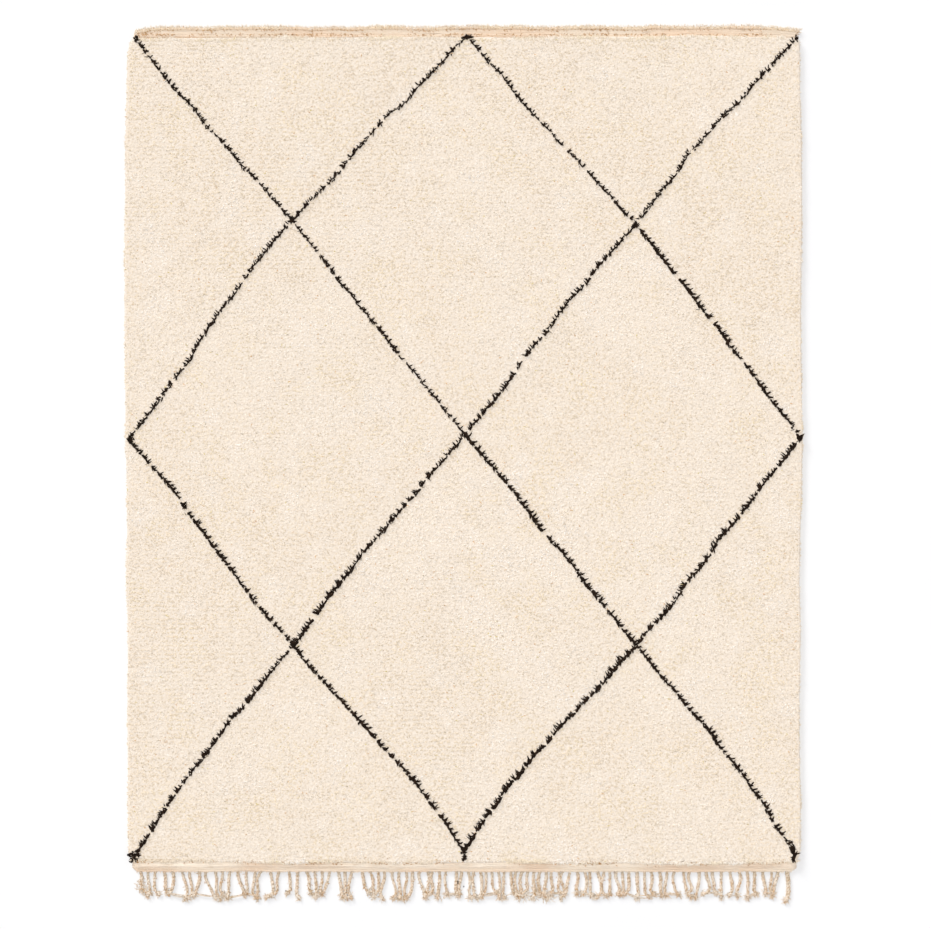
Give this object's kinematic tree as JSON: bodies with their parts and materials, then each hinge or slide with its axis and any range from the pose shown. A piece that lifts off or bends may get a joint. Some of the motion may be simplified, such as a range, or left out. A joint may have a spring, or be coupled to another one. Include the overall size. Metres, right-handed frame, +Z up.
{
  "type": "beni ourain rug",
  "caption": "Rectangular hand-knotted ivory wool rug with a dark diamond lattice, a rolled head hem, a flat-woven foot band and a twisted fringe.",
  "frame": {"origin": "on the floor under the middle of the rug, fringe included", "axes": "+X across the width, +Y along the length towards the head hem, with the fringe at -Y, and +Z up out of the pile"},
  "size_m": [2.4129, 3.1261, 0.024],
  "materials": {
    "ivory_wool_pile": "matt undyed ivory wool pile with tan and grey flecks",
    "dark_wool_pile": "matt brown-black wool pile",
    "woven_wool": "matt flat-woven beige wool",
    "warp_wool": "matt twisted beige wool"
  },
  "bodies": {
    "root": {"rug_cloth": "ivory_wool_pile", "fringe": "warp_wool"}
  },
  "joints": []
}
